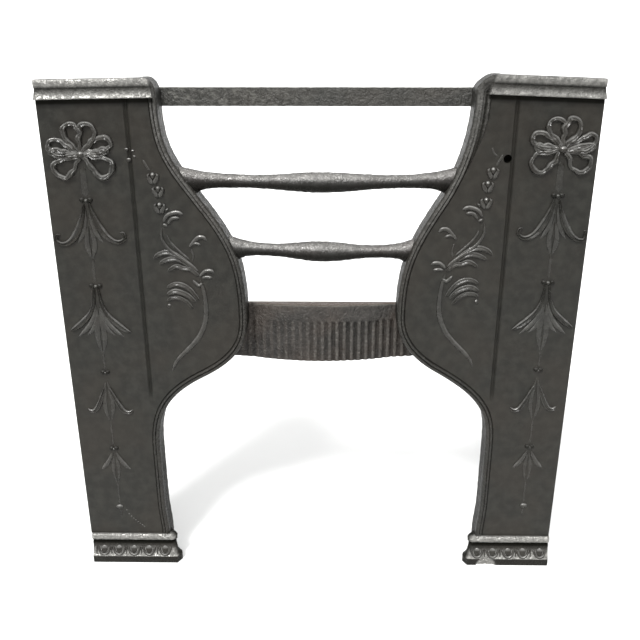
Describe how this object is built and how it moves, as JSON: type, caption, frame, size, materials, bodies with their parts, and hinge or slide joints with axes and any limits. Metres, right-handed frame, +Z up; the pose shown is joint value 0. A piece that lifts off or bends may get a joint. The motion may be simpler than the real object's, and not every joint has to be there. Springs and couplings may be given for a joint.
{
  "type": "hob grate front",
  "caption": "Cast-iron fireplace hob grate front: two ornamented plates on moulded feet, joined by a flat bar, swelled round bars and a bowed, reeded apron.",
  "frame": {"origin": "middle of the hearth line under the front, at the centre of its width and of its depth, on the undersides of the feet", "axes": "+X to the right as seen from the room, +Y back into the fireplace, +Z up"},
  "size_m": [0.71, 0.0478, 0.728],
  "materials": {
    "black_leaded_plate": "black-leaded cast iron, smooth panels with worn, slightly rusty relief",
    "polished_bar": "cast iron worn bright by use, finely pitted",
    "rough_apron": "fire-scaled cast iron with traces of rust"
  },
  "bodies": {
    "root": {"left_plate": "black_leaded_plate", "right_plate": "black_leaded_plate", "top_bar": "rough_apron", "upper_bar": "polished_bar", "lower_bar": "polished_bar", "apron": "rough_apron"}
  },
  "joints": []
}
